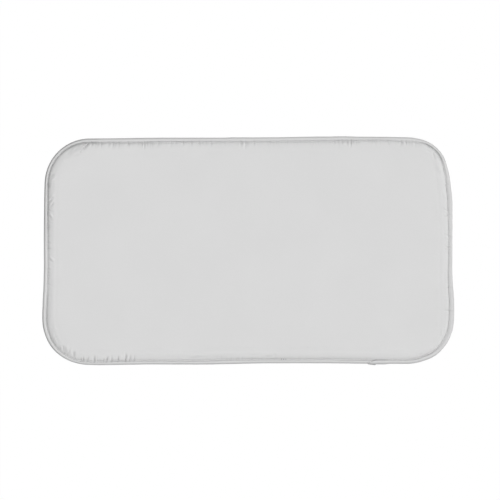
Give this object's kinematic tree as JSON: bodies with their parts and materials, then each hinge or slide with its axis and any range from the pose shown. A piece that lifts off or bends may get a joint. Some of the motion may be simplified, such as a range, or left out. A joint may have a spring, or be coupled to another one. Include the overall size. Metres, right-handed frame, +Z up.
{
  "type": "ironing pad",
  "caption": "Thin padded mat with round corners for ironing on a table: metallised face cloth, felts, heat barrier and plain back, bound all round with folded tape.",
  "frame": {"origin": "centre of the underside, on the surface that the pad lies on", "axes": "+X along the pad's long side, +Y across it towards the back side, +Z up out of the ironing face"},
  "size_m": [0.8304, 0.4606, 0.008],
  "materials": {
    "metallised_cotton": "smooth cotton with a matt silver metallised face",
    "binding_tape": "the same cotton cut on the bias and folded",
    "plain_cotton": "matt plain-woven cotton",
    "upper_felt": "needled white felt",
    "lower_felt": "needled grey felt",
    "barrier_foil": "thin crinkled foil film",
    "seam_thread": "twisted polyester sewing thread"
  },
  "bodies": {
    "root": {"back_cloth": "plain_cotton", "lower_felt": "lower_felt", "heat_barrier": "barrier_foil", "upper_felt": "upper_felt", "face_cloth": "metallised_cotton", "edge_binding": "binding_tape", "needle_thread": "seam_thread", "bobbin_thread": "seam_thread"}
  },
  "joints": []
}
